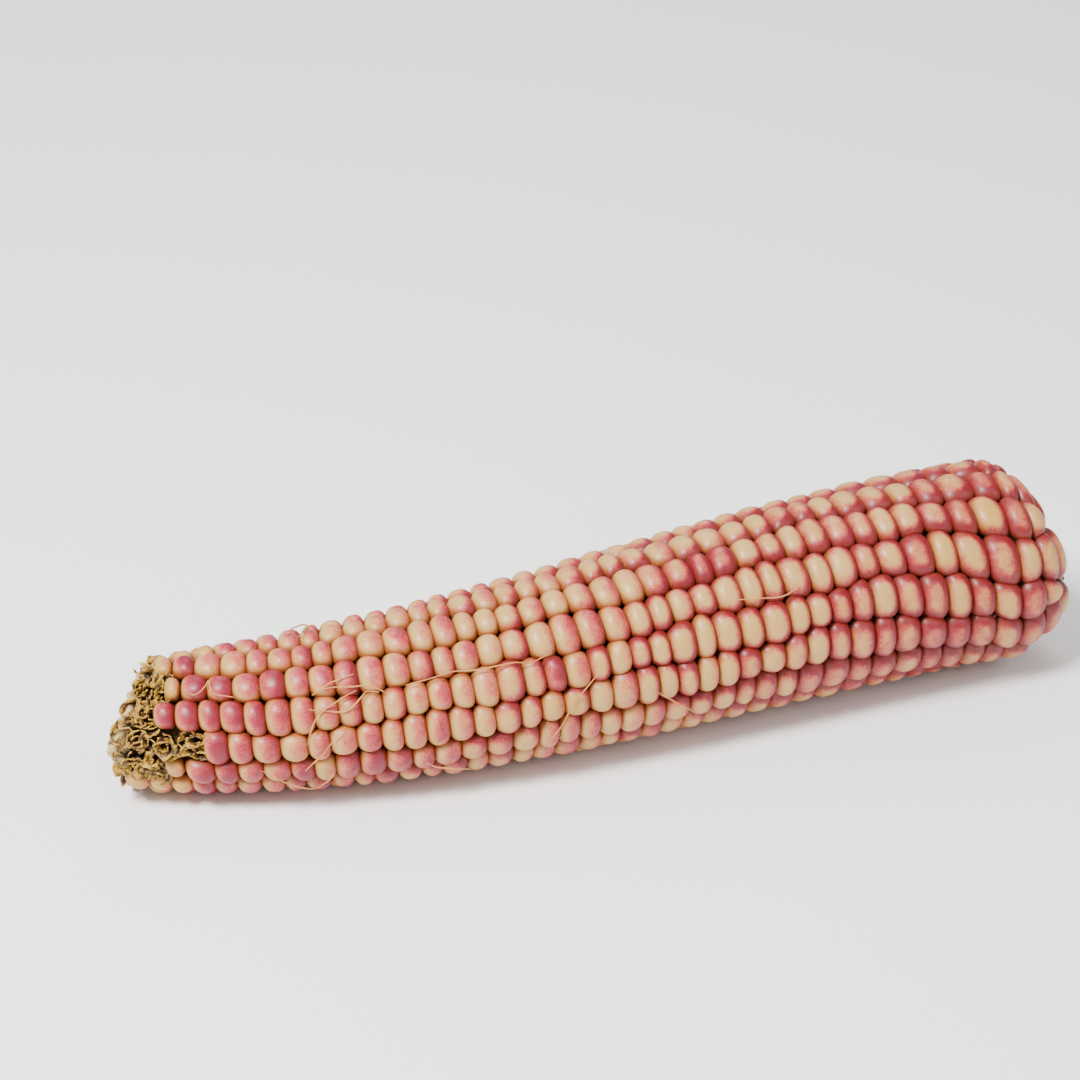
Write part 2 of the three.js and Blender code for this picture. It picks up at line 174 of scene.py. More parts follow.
def place(s, angle, depth):
    """The point at station s along the crowns, an angle round the ear and a depth under the crowns. Past the
    body the section turns over a round of BUTT_RADIUS: the radius falls by its cosine and the reach along
    the axis grows by its sine."""
    s, angle, depth = np.broadcast_arrays(s, angle, depth)
    u = np.minimum(s, BODY) / HALF_LENGTH - 1
    along, side, up = axis_frame(u)
    turn = (np.maximum(0, s - BODY) / BUTT_RADIUS)[..., None]
    reach = (BUTT_RADIUS - depth)[..., None]
    radius = crown_radius(u)[..., None] - BUTT_RADIUS + reach * np.cos(turn)
    out = side * np.cos(angle)[..., None] + up * np.sin(angle)[..., None]
    return axis_point(u) + out * radius + along * reach * np.sin(turn) * end_length(angle)[..., None]


def groove_angle(row, s):
    """Angle of the groove under a row: the rows are a sixteenth of a turn apart, twist at both ends, are wider
    in front by a sine, waver by two more, and every other one narrows over the stalk end."""
    u = np.minimum(s, BODY) / HALF_LENGTH - 1
    half = math.pi / ROWS
    tip = np.maximum(0, (-u - TIP_TWIST_FROM) / (1 - TIP_TWIST_FROM))
    butt = np.maximum(0, (u - BUTT_TWIST_FROM) / (1 - BUTT_TWIST_FROM))
    even = ROW_ANGLE + ROW_DRIFT * u + TIP_TWIST * tip ** 2 + BUTT_TWIST * butt ** 2
    even = even + (FRONT_ROW - row) * 2 * half - half
    widen = (WIDEN_MIDDLE + WIDEN_ENDS * u * u) * np.sin(even - ROW_ANGLE)
    waver = sum(size * np.sin(s / length + row * phase) for size, length, phase in WAVERS)
    merge = MERGE_SHARE * smooth(TOTAL - MERGE_START, TOTAL - MERGE_END, s)
    return even + widen + waver + np.where(row % 2 == 0, -1, 1) * merge * half


def row_span(row, s):
    """Angles of the middle of a row and of half its width, from the grooves on both sides of it."""
    upper = groove_angle((row + ROWS - 1) % ROWS, s) + np.where(row == 0, 2 * math.pi, 0)
    lower = groove_angle(row, s)
    return (upper + lower) / 2, (upper - lower) / 2


print("radius over the kernels at the tip:", round(TIP_RADIUS, 2))

# %% [markdown]
# Kernels sit in their row like beads: the spacing is about 4 mm at the tip and over 6 mm at the stalk end, and
# each one is a little longer or shorter than the last. At the tip, mostly in front, the ear wasn't pollinated,
# and the first places stay empty.

# %% Kernel places


def row_creases(row):
    """Stations of the creases of one row: a running sum of uneven lengths, stretched to end at TOTAL."""
    lengths, run = [], 0.0
    while run < TOTAL:
        pitch = PITCH_TIP + PITCH_GROWTH * (run / TOTAL) ** 3
        vary = 1 + LENGTH_VARIES * (float(draw(row, len(lengths), 1)) - 0.5)
        lengths.append(pitch * (vary if lengths else FIRST_LENGTH[row]))
        run += lengths[-1]
    return np.concatenate([[0], np.cumsum(lengths)]) * TOTAL / run


creases = [row_creases(row) for row in range(ROWS)]
cells = np.array([
    (row, index, start, end)
    for row in range(ROWS)
    for index, (start, end) in enumerate(zip(creases[row][:-1], creases[row][1:]))
])
cell_row, cell_index = cells[:, 0].astype(int), cells[:, 1].astype(int)
cell_middle = (cells[:, 2] + cells[:, 3]) / 2
end_radius = crown_radius(1 - BUTT_RADIUS / 2 / HALF_LENGTH) - BUTT_RADIUS / 2
cell_width = 2 * row_span(cell_row, cell_middle)[1] * end_radius
grown = (cell_index >= FIRST_KERNEL[cell_row]) & (cell_width >= SLIVER)
empty = cell_index < FIRST_KERNEL[cell_row]
print("kernels:", int(grown.sum()), "empty places:", int(empty.sum()))

# %% [markdown]
# One kernel is a soft pillow with a rounded rectangular outline. A superellipse gives the outline, a second one
# the dome, and a few rings of a dozen points carry both. Instances would be lighter, but each kernel bends to
# its own place between wavering grooves, so all of them are worked out at once as one big array.

# %% Kernel surfaces
LONGITUDES = 12
RING_SHARES = np.array([0.38, 0.70, 0.91, 1.01, 1.0])
RING_POWERS = np.array([2.0, 2.2, 2.6, 3.3, 4.0])
RING_DEPTHS = np.array([0.04, 0.5, 1.35, 2.4, 3.7])
# The reaches also lay the painted crease shade down the kernels' sides.
RING_REACHES = (0.45, 0.8, 1.0, 1.3, 1.7)  # how far each ring is from the crown, for the colours
ROOT_DEPTH = 4.4
ROOT_REACH = 2
OUTLINE_GROWTH = 1.14  # fills the crease, because the smoothing draws the outline in
UNEVEN = 0.25
SIZE_VARIES = 0.03
SKEW_VARIES = 0.2
TILT_ALONG = 0.3
TILT_ACROSS = 0.25
# A row's first kernel has no neighbour on its side towards the tip, so the painted crease shade is held off
# there.
BARE_SIDE = -0.2  # a row's first kernel has no crease on its side towards the tip
BARE_REACH = 0.95
RUNTS = {  # kernels that never filled out: size, how far they are sunk
    (0, 1): (0.8, 0.9), (0, 2): (0.88, 0.5), (0, 3): (0.94, 0.2), (1, 2): (0.85, 0.6), (2, 2): (0.8, 0.7),
    (3, 2): (0.92, 0.3), (5, 2): (0.8, 0.8), (6, 0): (1.0, 0.3), (6, 1): (1.0, 0.2), (7, 0): (0.9, 0.6),
}


def make_object(name, points, faces):
    """A smooth mesh object from points in millimetres and lists of point numbers."""
    mesh = bpy.data.meshes.new(name)
    mesh.from_pydata((np.asarray(points).reshape(-1, 3) * MM).tolist(), [], faces)
    mesh.polygons.foreach_set("use_smooth", [True] * len(mesh.polygons))
    mesh.update()
    piece = bpy.data.objects.new(name, mesh)
    bpy.context.collection.objects.link(piece)
    return piece


def set_vectors(piece, name, values):
    """Stores one vector for each point of the mesh under a name that a material can read."""
    layer = piece.data.attributes.new(name, "FLOAT_VECTOR", "POINT")
    layer.data.foreach_set("vector", np.ascontiguousarray(values, dtype=np.float32).ravel())


def kernel_faces(count):
    """Faces of count closed pillows: a fan at the top, bands of quads between the rings, a fan at the root."""
    rings, size = len(RING_SHARES), len(RING_SHARES) * LONGITUDES + 2
    here = np.arange(LONGITUDES)
    after = (here + 1) % LONGITUDES
    top = np.stack([np.zeros_like(here), 1 + here, 1 + after], -1)
    bands = []
    for ring in range(rings - 1):
        low, high = 1 + (ring + 1) * LONGITUDES, 1 + ring * LONGITUDES
        bands.append(np.stack([high + here, low + here, low + after, high + after], -1))
    base = 1 + (rings - 1) * LONGITUDES
    root = np.stack([np.full_like(here, size - 1), base + after, base + here], -1)
    shift = (np.arange(count) * size)[:, None, None]
    quads = (np.concatenate(bands)[None] + shift).reshape(-1, 4)
    fans = (np.concatenate([top, root])[None] + shift).reshape(-1, 3)
    return quads.tolist() + fans.tolist()


def kernel_cage(row, index, start, end):
    """Points of the pillows. A point of a ring at angle t is the superellipse (cos t, sin t), each to the power
    2/n with its sign, times the ring's share. x runs along the row and y across it; the size, the height, a
    lean and a skew differ from kernel to kernel."""
    t = 2 * math.pi * (np.arange(LONGITUDES) + 0.5) / LONGITUDES
    power = 2 / RING_POWERS[:, None]
    x = RING_SHARES[:, None] * np.sign(np.cos(t)) * np.abs(np.cos(t)) ** power
    y = RING_SHARES[:, None] * np.sign(np.sin(t)) * np.abs(np.sin(t)) ** power
    x = np.concatenate([[0], x.ravel(), [0]])
    y = np.concatenate([[0], y.ravel(), [0]])
    reach = np.concatenate([[0], np.repeat(RING_REACHES, LONGITUDES), [ROOT_REACH]])
    depth = np.concatenate([[0], np.repeat(RING_DEPTHS, LONGITUDES), [ROOT_DEPTH]])
    runt = np.array([RUNTS.get((r, i), (1.0, 0.0)) for r, i in zip(row.tolist(), index.tolist())])
    row, index = row[:, None], index[:, None]
    size = OUTLINE_GROWTH * runt[:, :1] * (1 + SIZE_VARIES * (draw(row, index, 12) - 0.5))
    skew = SKEW_VARIES * (draw(row, index, 13) - 0.5)
    s = (start + end)[:, None] / 2 + (x + skew * y * (1 - np.abs(x))) * (end - start)[:, None] / 2 * size
    middle, half = row_span(row, s)
    lift = UNEVEN * (draw(row, index, 2) - 0.5) + TILT_ALONG * (draw(row, index, 11) - 0.5) * x
    lift = lift + TILT_ACROSS * (draw(row, index, 14) - 0.5) * y + runt[:, 1:]
    points = place(s, middle + y * half * size, depth + lift)
    points[..., 2] = np.maximum(points[..., 2], 0)
    first = index == FIRST_KERNEL[row]
    reach = np.where(first & (x < BARE_SIDE), np.minimum(reach, BARE_REACH), reach)
    return points, np.broadcast_arrays(x, y, reach)


print("faces of one cage:", len(kernel_faces(1)))

# %% [markdown]
# Every kernel has a temper of its own: how much rose it has taken up, whether the rose leans to red, and
# whether it stayed yellow. The flush is strongest at the tip and the stalk end and weakest between, and the rows
# low on the ear get extra rose as painted shade. A few kernels stand out from the rest, and those are listed one
# by one.

# %% Temper of the kernels
PAIRS = ROWS // 2
ROSE_LEAST = 0.35  # at the station ROSE_SHARE of the length
ROSE_SHARE = 0.55
ROSE_GROWTH = 1.3
ROSE_VARIES = (0.34, 0.3)  # at the tip, and what the stalk end adds
ROSE_WAVE = (0.07, 9, 1.7)  # size, length, phase from row to row
# Extra rose on the rows low on the ear is painted shade: that side of the ear is darker.
LOW_ROWS_PAINTED_SHADE = 0.1
STALK_EXTRA = 0.1
STALK_FADE = (0.55, 0.8)
DEEP_EXTRA = 0.38
YELLOW_SHARE = 0.45
YELLOW_VARIES = 0.2
YELLOW_ROSE = 0.16
RED_START, RED_GROWTH, RED_VARIES = -0.25, 1.3, 0.5
DEEP = ((2, 3), (2, 4), (1, 3), (1, 8), (3, 2), (3, 3), (4, 4), (5, 4), (5, 7), (5, 10), (6, 11), (2, 6),
        (3, 19), (1, 24), (1, 25), (1, 26), (4, 33), (4, 34), (4, 35), (4, 36), (5, 29), (5, 32), (2, 36))
YELLOW = ((1, 2), (2, 2), (0, 1), (0, 2), (0, 3), (5, 2), (6, 0), (6, 1), (6, 2), (5, 8), (2, 34),
          (4, 18), (4, 19), (1, 37), (7, 1))


def temper(row, index, middle):
    """Rose, redness and yellow of each kernel. Rose is a random draw on top of a parabola of the station that is
    lowest past the middle; redness grows towards the stalk end."""
    share = middle / TOTAL
    named = list(zip(row.tolist(), index.tolist()))
    rose = ROSE_LEAST + ROSE_GROWTH * (share - ROSE_SHARE) ** 2
    rose = rose + (ROSE_VARIES[0] + ROSE_VARIES[1] * share) * (draw(row, index, 21) - 0.5)
    rose = rose + ROSE_WAVE[0] * np.sin(middle / ROSE_WAVE[1] + row * ROSE_WAVE[2])
    rose = rose + np.array([DEEP_EXTRA if name in DEEP else 0.0 for name in named])
    # The low rows' extra rose is painted shade.
    rose = rose + LOW_ROWS_PAINTED_SHADE * (row > FRONT_ROW + 1) + STALK_EXTRA * smooth(*STALK_FADE, share)
    yellow = np.array([YELLOW_SHARE if name in YELLOW else 0.0 for name in named])
    rose = np.where(yellow > 0, YELLOW_ROSE, rose)
    red = np.clip(RED_START + RED_GROWTH * share + RED_VARIES * (draw(row, index, 22) - 0.5), 0, 1)
    return np.stack([np.clip(rose, 0, 1), red, yellow + YELLOW_VARIES * draw(row, index, 23)], -1)


kernel_pieces = []
for pair in range(PAIRS):
    chosen = grown & (cell_row // 2 == pair)
    rows, indexes = cell_row[chosen], cell_index[chosen]
    points, (along, across, reach) = kernel_cage(rows, indexes, cells[chosen, 2], cells[chosen, 3])
    piece = make_object(f"kernel_rows_{pair + 1}", points, kernel_faces(len(rows)))
    set_vectors(piece, "kernel_place", np.stack([along, across, reach], -1))
    tempers = temper(rows, indexes, cell_middle[chosen])
    set_vectors(piece, "kernel_temper", np.broadcast_to(tempers[:, None], along.shape + (3,)))
    rounding = piece.modifiers.new("rounding", "SUBSURF")
    rounding.levels = 1
    rounding.render_levels = 1
    kernel_pieces.append(piece)
print("kernel pieces:", len(kernel_pieces))

# %% [markdown]
# Materials are small graphs of nodes. One helper adds a node with its settings and links, and colours are
# written as the hex values that the eye would pick, turned to linear light by one function.

# %% Material helpers


def linear(hex_code):
    """sRGB hex to linear light: the standard curve with its straight foot."""
    channels = [int(hex_code[i:i + 2], 16) / 255 for i in (1, 3, 5)]
    return tuple(c / 12.92 if c <= 0.04045 else ((c + 0.055) / 1.055) ** 2.4 for c in channels) + (1.0,)


def new_material(name):
    """An empty material with its output node."""
    material = bpy.data.materials.new(name)
    material.use_nodes = True
    material.node_tree.nodes.clear()
    material.node_tree.nodes.new("ShaderNodeOutputMaterial").name = "output"
    return material


def add(material, kind, sockets=(), **settings):
    """Adds a node and returns it. Each socket is set to a value or linked to another node's output."""
    tree = material.node_tree
    node = tree.nodes.new("ShaderNode" + kind)
    for key, value in settings.items():
        setattr(node, key, value)
    for key, value in dict(sockets).items():
        if isinstance(value, bpy.types.NodeSocket):
            tree.links.new(value, node.inputs[key])
        else:
            node.inputs[key].default_value = value
    return node


def finish_material(material, sockets):
    """Adds the shader with these sockets and links it to the material's output."""
    shader = add(material, "BsdfPrincipled", sockets)
    material.node_tree.links.new(shader.outputs[0], material.node_tree.nodes["output"].inputs["Surface"])


def stored(material, name):
    """The three numbers of a vector that was stored with the mesh."""
    vector = add(material, "Attribute", attribute_name=name).outputs["Vector"]
    return add(material, "SeparateXYZ", {"Vector": vector}).outputs[:]


def madd(material, first, factor, term):
    """first times factor plus term, each a value or a socket."""
    return add(material, "Math", {0: first, 1: factor, 2: term}, operation="MULTIPLY_ADD").outputs[0]


def blend(material, factor, first, second):
    """Two colours mixed."""
    return add(material, "Mix", {"Factor": factor, "A": first, "B": second}, data_type="RGBA").outputs["Result"]


def between(material, value, limits, curve="LINEAR"):
    """0 to 1 between two limits, in proportion or by another curve."""
    return add(material, "MapRange", {"Value": value, "From Min": limits[0], "From Max": limits[1]},
               interpolation_type=curve).outputs["Result"]


def noise(material, size, detail, **more):
    """Noise with features of this size in millimetres, on the object's coordinates, which are in metres."""
    where = add(material, "TexCoord").outputs["Object"]
    sockets = {"Vector": where, "Scale": 1 / (size * MM), "Detail": detail, **more}
    return add(material, "TexNoise", sockets).outputs["Fac"]


def bump(material, height, strength, relief):
    """The normal bent by a height, with a relief in millimetres."""
    sockets = {"Height": height, "Strength": strength, "Distance": relief * MM}
    return add(material, "Bump", sockets).outputs["Normal"]


print("helpers ready")

# %% [markdown]
# The seed coat of flint corn is a hard, smooth skin like a varnished bean. Its rose pigment lies in the outer
# layer. On the small kernels of the tip it is a blotch on the side towards the stalk; on the large ones it draws
# back to a crescent along that side and both ends. So the colour is mixed by each kernel's own coordinates,
# which were stored with the mesh, and broken up by a mottle and a fine stipple.

# %% Seed coat colours
CREAM = "#BE9656"
# The cream darkens with a kernel's redness, towards the stalk end: painted shade of the light falling off there.
STALK_SHADED_CREAM = "#B68C4E"
YELLOW_CREAM = "#B48A30"
SOFT_ROSE = "#B43C3E"
SOFT_RED = "#A83A2C"
DEEP_ROSE = "#7A0022"
DEEP_RED = "#74000E"
# Painted crease shade: tan or red down the kernels' sides, and dark brown deepest down, where shade falls
# between them.
CREASE_SHADE_TAN = "#94501E"
CREASE_SHADE_RED = "#782018"
CREASE_SHADE_DARK = "#55260E"
MOTTLE_SIZE = 1.8  # of the broad uneven patches, in millimetres
SPECKLE_SIZE = 0.28  # of the fine stipple

seed_coat = new_material("seed_coat")
along_spot, across_spot, down_spot = stored(seed_coat, "kernel_place")
rose_lot, red_lot, yellow_lot = stored(seed_coat, "kernel_temper")
mottle = noise(seed_coat, MOTTLE_SIZE, 3.0, Roughness=0.6)
speckle = noise(seed_coat, SPECKLE_SIZE, 2.0, Roughness=0.7)


def fade(value, limits):
    """0 to 1 by a soft step between two limits, in the seed coat's graph."""
    return between(seed_coat, value, limits, "SMOOTHSTEP")


print("noises:", MOTTLE_SIZE, SPECKLE_SIZE)

# %% [markdown]
# The flush is one number. It is the sum of where the point lies on its kernel, how much rose the kernel took up
# and the two noises. Kernels that lean to red, near the stalk, take the crescent, and the others the blotch.

# %% Where the flush lies
BLOTCH_MIDDLE = (0.5, 0.15)  # along and across the kernel, from -1 to 1
BLOTCH_FALL = (-0.55, -0.4)  # how fast the flush falls away from it, both ways
BLOTCH_HEIGHT = 0.12
CRESCENT = (0.85, 0.55)  # how much it rises to the stalk side and to both ends
CRESCENT_START = -0.48
STALK_SIDE_FADE = (-0.1, 0.7)
ENDS_FADE = (0.12, 0.7)
# All round its rim a kernel grows rosier: partly the seed coat's own rose, partly painted shade on its sloping
# sides.
RIM_ROSE_AND_SHADE = 0.42  # and all round the rim
RIM_ROSE_AND_SHADE_FADE = (0.45, 1.0)
CRESCENT_FADE = (0.0, 0.6)  # over this redness the blotch gives way to the crescent
FLUSH_START = -0.98
MOTTLE_SHARE = 0.75
SPECKLE_SHARE = 1.0
along_off = madd(seed_coat, along_spot, 1.0, -BLOTCH_MIDDLE[0])
across_off = madd(seed_coat, across_spot, 1.0, -BLOTCH_MIDDLE[1])
blotch = madd(seed_coat, madd(seed_coat, across_off, across_off, 0.0), BLOTCH_FALL[1], BLOTCH_HEIGHT)
blotch = madd(seed_coat, madd(seed_coat, along_off, along_off, 0.0), BLOTCH_FALL[0], blotch)
ends = fade(madd(seed_coat, across_spot, across_spot, 0.0), ENDS_FADE)
crescent = madd(seed_coat, ends, CRESCENT[1], CRESCENT_START)
crescent = madd(seed_coat, fade(along_spot, STALK_SIDE_FADE), CRESCENT[0], crescent)
# The rose round the rim is partly pigment and partly painted shade.
crescent = madd(seed_coat, fade(down_spot, RIM_ROSE_AND_SHADE_FADE), RIM_ROSE_AND_SHADE, crescent)
shape = add(seed_coat, "Mix", {
    "Factor": fade(red_lot, CRESCENT_FADE), "A": blotch, "B": crescent},
    data_type="FLOAT").outputs["Result"]
flush = madd(seed_coat, mottle, MOTTLE_SHARE, madd(seed_coat, rose_lot, 1.0, FLUSH_START))
flush = madd(seed_coat, speckle, SPECKLE_SHARE, madd(seed_coat, shape, 1.0, flush))
print("flush starts at", FLUSH_START)

# %% [markdown]
# The colours are then laid over each other: cream, soft rose and deep rose by the flush, and a painted crease
# shade, tan or red and then dark brown, by how far down the kernel's side the point lies. A thin clear coat
# gives the highlights.

# %% Mix the seed coat
SOFT_FADE = (-0.2, 0.55)  # of the flush
DEEP_FADE = (0.3, 0.9)
CREASE_SHADE_RED_FADE = (0.1, 0.6)
CREASE_SHADE_FADE = (0.82, 1.1)  # of the reach down the kernel's side
DEEP_CREASE_SHADE_FADE = (1.08, 1.45)
SKIN_RELIEF = 0.2  # of the bump and the depth of light, in millimetres
SKIN_DEPTH = 1.2
# Painted shade: the cream darkens towards the stalk end with the redness.
base = blend(seed_coat, red_lot, linear(CREAM), linear(STALK_SHADED_CREAM))
base = blend(seed_coat, yellow_lot, base, linear(YELLOW_CREAM))
soft_tone = blend(seed_coat, red_lot, linear(SOFT_ROSE), linear(SOFT_RED))
deep_tone = blend(seed_coat, red_lot, linear(DEEP_ROSE), linear(DEEP_RED))
soft = blend(seed_coat, fade(flush, SOFT_FADE), base, soft_tone)
rosy = blend(seed_coat, fade(flush, DEEP_FADE), soft, deep_tone)
# Painted shade in the creases: tan or red down the sides, then dark brown deepest down.
crease_shade = blend(seed_coat, fade(flush, CREASE_SHADE_RED_FADE), linear(CREASE_SHADE_TAN), linear(CREASE_SHADE_RED))
crease_shaded = blend(seed_coat, fade(down_spot, CREASE_SHADE_FADE), rosy, crease_shade)
deep_crease_shaded = blend(seed_coat, fade(down_spot, DEEP_CREASE_SHADE_FADE), crease_shaded, linear(CREASE_SHADE_DARK))
finish_material(seed_coat, {
    "Base Color": deep_crease_shaded, "Roughness": 0.48, "IOR": 1.5, "Coat Weight": 0.08, "Coat Roughness": 0.15,
    "Subsurface Weight": 0.1, "Subsurface Scale": SKIN_DEPTH * MM,
    "Normal": bump(seed_coat, mottle, 0.15, SKIN_RELIEF)})
for piece in kernel_pieces:
    piece.data.materials.append(seed_coat)
print("seed coat nodes:", len(seed_coat.node_tree.nodes))

# %% [markdown]
# The cob is a woody core in a crust of chaff. It is one surface of rings along the axis: pitted where it is bare
# at the tip, and stepped at the stalk end, where torn husk bases stand round the cut face. The bare tip was
# snapped off aslant, so it is cut back above.

# %% Cob
COB_COLUMNS = 96
SLANT = 4.6  # how far the tip is cut back at the cob's radius
SLANT_ANGLE = 1.9  # where it is cut back furthest: above and a little behind
SLANT_LENGTH = 12.0
SLANT_LIMIT = 1.1  # in shares of the cob's radius at the tip
BARE = 26.0  # how far the cob is pitted
BARE_STEP = 0.5
HIDDEN_STEPS = 40
HIDDEN_END = 6.0  # the shaft ends this far before the rounded stalk end
PIT_DEPTH = 0.5
DOME_SHARES = (0.25, 0.5, 0.75, 0.92)
DOME_HEIGHT = 0.3
BUTT_U = BODY / HALF_LENGTH - 1
SHANK_STEPS = ((0, 9.8), (0.9, 9.7), (1.0, 9.0), (2.6, 8.5), (2.7, 7.9), (2.8, 7.0))  # drop, radius
TORN_DROP = (0.95, 0.1)  # the steps this far down, give or take, are torn


def cob_radius(u):
    """Radius of the cob under its cups: a parabola through its radii at the tip, the middle and the end."""
    return COB_MIDDLE + (COB_BUTT - COB_TIP) / 2 * u + ((COB_TIP + COB_BUTT) / 2 - COB_MIDDLE) * u * u


def ring_points(u, shift, radius, angle):
    """Rings round the axis at u, pushed along it by shift, with a radius for each angle."""
    along, side, up = axis_frame(u)
    out = side[:, None] * np.cos(angle)[..., None] + up[:, None] * np.sin(angle)[..., None]
    return axis_point(u)[:, None] + out * radius[..., None] + along[:, None] * shift[..., None]


def ring_faces(rows, columns):
    """Quads between rings of points that close on themselves."""
    r, c = np.meshgrid(np.arange(rows - 1), np.arange(columns), indexing="ij")
    after = (c + 1) % columns
    near, far = r * columns, (r + 1) * columns
    return np.stack([near + c, far + c, far + after, near + after], -1).reshape(-1, 4).tolist()


def slanted(points):
    """The tip was snapped off aslant. Points above the axis there move into the ear: by the slant at the cob's
    radius, less towards the axis, and less and less over the slant's length."""
    into, side, up = axis_frame(-1.0)
    local = points - axis_point(-1.0)
    above = side * math.cos(SLANT_ANGLE) + up * math.sin(SLANT_ANGLE)
    high = np.clip(local @ above / COB_TIP, 0, SLANT_LIMIT)
    near = np.clip(1 - local @ into / SLANT_LENGTH, 0, 1)
    return points + SLANT * (high * near)[..., None] * into


def cob_rings():
    """A tip dome of shrinking rings, the shaft, and a stalk end that steps in to the cut face. The bare part is
    roughened by a product of sines at the spacing of the kernels; a jagged sum of sines tears the husk."""
    angle = np.linspace(0, 2 * math.pi, COB_COLUMNS, endpoint=False)[None]
    shaft_s = np.concatenate([np.arange(0, BARE, BARE_STEP), np.linspace(BARE, BODY - HIDDEN_END, HIDDEN_STEPS)])
    shaft_u = shaft_s / HALF_LENGTH - 1
    pits = np.sin(8 * angle + shaft_s[:, None] * 0.2) * np.sin(shaft_s[:, None] * 1.45)
    rough = PIT_DEPTH * pits * (shaft_s[:, None] < BARE)
    share = np.array(DOME_SHARES)[:, None]
    dome_shift = -DOME_HEIGHT * np.sqrt(1 - share ** 2) + 0 * angle
    dome = ring_points(np.full(len(share), -1.0), dome_shift, share * COB_TIP + 0 * angle, angle)
    shaft = ring_points(shaft_u, 0 * rough, cob_radius(shaft_u)[:, None] + rough, angle)
    drop, radius = np.array(SHANK_STEPS).T[..., None]
    torn = 0.5 * np.sin(9 * angle) * np.sin(5 * angle + 1) + 0.4 * np.sin(23 * angle)
    torn = torn * (np.abs(drop - TORN_DROP[0]) < TORN_DROP[1])
    reach = np.where(drop > 0, END_REACH * end_length(angle) - drop + torn, 0)
    shank = ring_points(np.full(len(drop), BUTT_U), reach, radius + 0 * angle, angle)
    return slanted(np.concatenate([dome, shaft, shank]))


rings = cob_rings()
count = len(rings) * COB_COLUMNS
around = np.arange(COB_COLUMNS)
around_next = (around + 1) % COB_COLUMNS
hubs = np.stack([rings[0].mean(0), rings[-1].mean(0)])
tip_fan = np.stack([np.full(COB_COLUMNS, count), around, around_next], -1).tolist()
last = count - COB_COLUMNS
stalk_fan = np.stack([np.full(COB_COLUMNS, count + 1), last + around_next, last + around], -1).tolist()
cob = make_object("cob_core", np.concatenate([rings.reshape(-1, 3), hubs]),
                  ring_faces(len(rings), COB_COLUMNS) + tip_fan + stalk_fan)
print("cob rings:", len(rings))

# %% [markdown]
# Every kernel grows out of a cup of papery bracts. Where the kernel is missing the cup shows: thin, curled,
# torn shells, one inside another. Each is a bent sheet that winds a little further than a full turn, leans
# its own way and flares to a ragged rim. Loose flakes of the same paper are shorter arcs of it.

# %% Papery cups
CUP_AROUND = 15
CUP_UP = 5
CUP_SWEEP = 2.3 * math.pi
RIM_WAVES = (0.20, 0.06)
ROOT_WIDTH = 0.6  # shares of the cup's radius
FLARE = 0.42
FLARE_WAVE = 0.05
TIGHTEN = 0.25
FLATTEN = 0.85
PROBE = 0.1  # millimetres, for directions by small differences
SEED = 7
rng = np.random.default_rng(SEED)


def curled_sheets(centre, axis, along, across, radius, height, opening):
    """Open curled sheets. The angle runs round from the opening, the height share t rises from the root. The
    radius flares by t, tightens along the turn, and waves; two sines tear the rim."""
    turn = np.linspace(0, 1, CUP_AROUND)[None, None, :]
    t = np.linspace(0, 1, CUP_UP)[None, :, None]
    phase = rng.uniform(0, 2 * math.pi, (len(centre), 1, 1))
    angle = phase + turn * (CUP_SWEEP - opening[:, None, None])
    rim = 1 + RIM_WAVES[0] * np.sin(2 * angle + phase * 5) + RIM_WAVES[1] * np.sin(5 * angle + phase * 3)
    rise = height[:, None, None] * t * np.where(t > 0.5, rim, 1)
    flare = ROOT_WIDTH + FLARE * t ** 1.5 + FLARE_WAVE * t * np.sin(3 * angle + phase)
    flare = radius[:, None, None] * flare * (1 - TIGHTEN * turn)
    sheet = along[:, None, None] * (flare * np.cos(angle))[..., None]
    sheet = sheet + across[:, None, None] * (FLATTEN * flare * np.sin(angle))[..., None]
    return centre[:, None, None] + sheet + axis[:, None, None] * rise[..., None]


def sheet_faces(count, rows, columns):
    """Quads of count open sheets of rows by columns points."""
    r, c = np.meshgrid(np.arange(rows - 1), np.arange(columns - 1), indexing="ij")
    low, high = r * columns + c, (r + 1) * columns + c
    quad = np.stack([low, low + 1, high + 1, high], -1)
    shift = (np.arange(count) * rows * columns)[:, None, None]
    return (quad.reshape(-1, 4)[None] + shift).reshape(-1, 4).tolist()


def unit(vectors):
    """Vectors of length one."""
    return vectors / np.linalg.norm(vectors, axis=-1, keepdims=True)


def local_axes(s, angle, depth):
    """A point and its directions outwards, along the ear and across it, by small differences of place."""
    point = place(s, angle, depth)
    outward = unit(place(s, angle, depth - PROBE) - point)
    along = place(s + PROBE, angle, depth) - point
    along = unit(along - outward * (along * outward).sum(-1, keepdims=True))
    return point, outward, along, np.cross(outward, along)


def leaning(axis, along, across, amount):
    """The axis of each sheet, tilted at random."""
    lean = rng.uniform(-amount, amount, (2, len(axis), 1))
    return unit(axis + along * lean[0] + across * lean[1])


def make_paper(piece, rise, thickness):
    """Stores how high each point stands on its sheet, for the colours and the painted shade at its root, and
    makes the sheet this thick.
    """
    set_vectors(piece, "chaff_place", rise)
    paper = piece.modifiers.new("paper", "SOLIDIFY")
    paper.thickness = thickness * MM
    paper.offset = 0


print("sheets of", CUP_UP, "by", CUP_AROUND, "points")

# %% [markdown]
# On the side of the tip each empty place gets a pair of shells, a small one in a larger one. Flakes are strewn
# over the rows in front, at most as far as the first kernel of the row.

